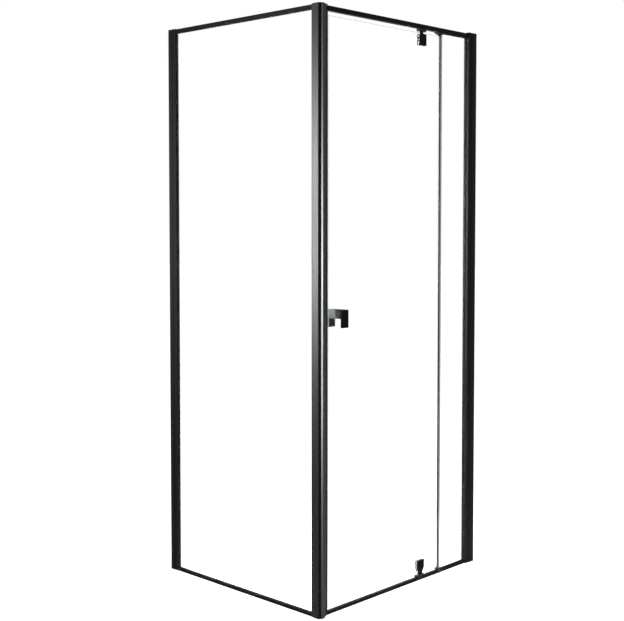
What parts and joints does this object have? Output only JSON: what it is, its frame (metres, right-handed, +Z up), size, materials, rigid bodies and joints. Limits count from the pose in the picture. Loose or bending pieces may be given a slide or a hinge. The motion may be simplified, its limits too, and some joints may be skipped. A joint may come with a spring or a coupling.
{
  "type": "shower door",
  "caption": "Framed corner shower enclosure with a pivoting glass door, a fixed inline glass and a fixed return panel.",
  "frame": {"origin": "underside of the corner foot at tray level, where the middle planes of the door glass and the return glass cross", "axes": "+X along the door side to its wall, +Y along the return panel to its wall, +Z up; outside the shower is towards -X and -Y"},
  "size_m": [0.7968, 0.7234, 1.853],
  "materials": {
    "black_aluminium": "satin black powder coat on extruded aluminium",
    "black_hardware": "satin black powder coat on cast zinc",
    "clear_glass": "clear toughened 6 mm glass, polished edges",
    "black_rubber": "extruded black EPDM",
    "grey_rubber": "light grey soft pads",
    "black_pvc": "extruded black PVC",
    "black_plastic": "moulded black nylon, fine grain",
    "clear_pvc": "translucent extruded PVC",
    "magnet": "flexible ferrite magnet strip",
    "steel": "stainless steel"
  },
  "bodies": {
    "frame": {"corner_post": "black_aluminium", "strike_jamb": "black_aluminium", "jamb_magnet_holder": "black_pvc", "jamb_magnet": "magnet", "jamb_screws": "steel", "corner_cap": "black_plastic", "corner_foot": "black_plastic", "return_front_stile": "black_aluminium", "return_wall_stile": "black_aluminium", "return_wall_channel": "black_aluminium", "return_bottom_rail": "black_aluminium", "return_top_rail": "black_aluminium", "return_glass": "clear_glass", "return_post_gasket": "black_rubber", "return_wall_gasket": "black_rubber", "return_sill_gasket": "black_rubber", "return_head_gasket": "black_rubber", "head_rail": "black_aluminium", "sill_rail": "black_aluminium", "door_wall_stile": "black_aluminium", "door_wall_channel": "black_aluminium", "door_channel_cap": "black_plastic", "return_channel_cap": "black_plastic", "rail_screws": "steel", "adjuster_screws": "steel", "adjuster_covers": "black_plastic", "head_filler_strip": "black_plastic", "sill_filler_strip": "black_plastic", "inline_glass": "clear_glass", "inline_sill_bead": "black_rubber", "inline_head_bead": "black_rubber", "inline_stile_gasket": "black_rubber", "inline_edge_clips": "black_plastic", "inline_edge_seal": "clear_pvc", "inline_edge_strip": "black_pvc", "top_pivot_bush": "black_plastic", "bottom_pivot_bush": "black_plastic", "bush_screws": "steel"},
    "door": {"door_glass": "clear_glass", "door_strike_seal": "clear_pvc", "door_strike_magnet": "magnet", "door_drip_seal": "clear_pvc", "clamp_top_outer_plate": "black_hardware", "clamp_top_inner_plate": "black_hardware", "clamp_top_core": "black_hardware", "clamp_top_pads": "grey_rubber", "clamp_top_screws": "steel", "clamp_top_pin": "steel", "clamp_low_outer_plate": "black_hardware", "clamp_low_inner_plate": "black_hardware", "clamp_low_core": "black_hardware", "clamp_low_pads": "grey_rubber", "clamp_low_screws": "steel", "clamp_low_pin": "steel", "outer_pull": "black_hardware", "inner_pull": "black_hardware", "pull_pads": "grey_rubber", "pull_sleeve": "clear_pvc", "pull_stud": "steel", "pull_grub_screws": "steel"}
  },
  "joints": [
    {"name": "door_swing", "type": "hinge", "parent": "frame", "child": "door", "pos_m": [0.496, 0, 0.02], "axis": [0, 0, 1], "range_deg": [0, 120]}
  ]
}
